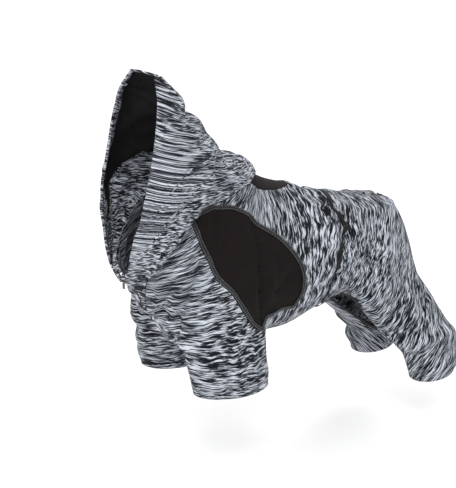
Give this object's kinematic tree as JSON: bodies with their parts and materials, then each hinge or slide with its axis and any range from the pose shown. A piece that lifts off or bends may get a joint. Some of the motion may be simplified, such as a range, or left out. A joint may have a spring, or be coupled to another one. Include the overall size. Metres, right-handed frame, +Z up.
{
  "type": "dog hoodie",
  "caption": "Full-length hooded jersey suit for a dog, with front and hind leg tubes, contrast panels, a tail hole and a short chest zip.",
  "frame": {"origin": "the point on the inside of the cloth at the top of the back, where it rests on the dog", "axes": "+X toward the tail, +Z up, -Y the dog's left side"},
  "size_m": [0.5177, 0.2126, 0.4838],
  "materials": {
    "heather": "soft streaked jersey",
    "black_jersey": "matte stretch jersey",
    "lining": "matte jersey",
    "trim": "matte stitched band",
    "zip_plastic": "matte",
    "zip_metal": "dark enamel"
  },
  "bodies": {
    "suit": {"back_body": "heather", "back_panel": "black_jersey", "belly_panel": "heather", "chest_left": "heather", "chest_right": "heather", "cutout_binding": "trim", "hind_left": "heather", "hind_right": "heather", "hood_left": "heather", "hood_lining_left": "lining", "hood_lining_right": "lining", "hood_right": "heather", "panel_trim_left": "trim", "panel_trim_right": "trim", "side_panel_left": "black_jersey", "side_panel_right": "black_jersey", "sleeve_left": "heather", "sleeve_right": "heather", "tail_binding": "trim", "waist_band": "trim", "zip_slider": "zip_metal", "zip_tape_left": "trim", "zip_tape_right": "trim", "zip_teeth": "zip_plastic"},
    "zip_pull": {"zip_pull": "zip_metal"}
  },
  "joints": [
    {"name": "pull_hinge", "type": "hinge", "parent": "suit", "child": "zip_pull", "pos_m": [-0.26619, 0, -0.08363], "axis": [0, 1, 0], "range_deg": [-22, 110]}
  ]
}
